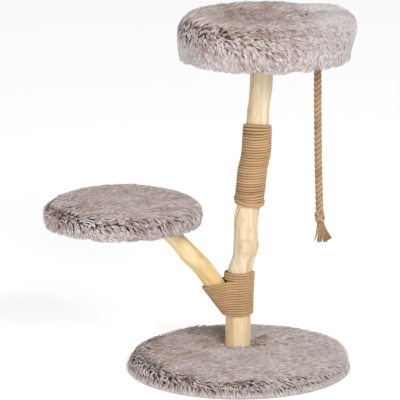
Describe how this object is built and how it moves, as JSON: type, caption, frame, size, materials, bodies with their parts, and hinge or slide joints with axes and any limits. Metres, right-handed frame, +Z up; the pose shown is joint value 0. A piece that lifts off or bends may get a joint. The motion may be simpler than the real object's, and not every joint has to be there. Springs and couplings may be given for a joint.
{
  "type": "cat tree",
  "caption": "Cat tree: plush round foot, natural pole with a side branch, plush perch, donut nest bed on top, cord lashings and a hanging rope toy.",
  "frame": {"origin": "centre of the round foot's underside, on the floor", "axes": "+Z up the pole, +X towards the rope toy's side, -Y is the front"},
  "size_m": [0.7115, 0.502, 0.8233],
  "materials": {
    "board": "sanded plywood",
    "plush": "frosted long pile, brown roots and pale tips",
    "felt": "dense felt",
    "undercloth": "matt non-woven cloth",
    "foam": "soft polyester and foam filling",
    "steel": "zinc plated",
    "brass": "plain",
    "pole_wood": "peeled, smoothed, matt",
    "branch_wood": "peeled, smoothed, matt",
    "lashing": "twisted natural cord",
    "rope": "three-strand natural rope"
  },
  "bodies": {
    "stand": {"base_board": "board", "base_plush_cover": "plush", "base_underfelt": "felt", "base_staples": "steel", "base_washer": "steel", "base_bolt": "steel", "base_insert": "brass", "base_screws": "steel", "lower_trunk": "pole_wood", "trunk_stud": "steel", "upper_trunk": "pole_wood", "side_branch": "branch_wood", "branch_screws": "steel", "lower_lashing": "lashing", "upper_lashing": "lashing", "lashing_tacks": "steel", "mid_board": "board", "mid_foam": "foam", "mid_plush_cover": "plush", "mid_undercloth": "undercloth", "mid_staples": "steel", "mid_screws": "steel", "top_board": "board", "top_tee_nut": "steel", "top_stud": "steel", "top_bolster": "foam", "top_pad": "foam", "top_plush_cover": "plush", "top_undercloth": "undercloth", "top_staples": "steel", "toy_rope_anchor": "rope"},
    "toy_rope_neck": {"toy_rope_neck": "rope"},
    "toy_rope": {"toy_rope": "rope", "toy_rope_whipping": "rope", "toy_rope_tassel": "rope"}
  },
  "joints": [
    {"name": "rope_swing_fore_aft", "type": "hinge", "parent": "stand", "child": "toy_rope_neck", "pos_m": [0.1775, 0.01, 0.7177], "axis": [1, 0, 0], "range_deg": [-50, 50]},
    {"name": "rope_swing_sideways", "type": "hinge", "parent": "toy_rope_neck", "child": "toy_rope", "pos_m": [0.1775, 0.01, 0.7177], "axis": [0, 1, 0], "range_deg": [-60, 12]}
  ]
}
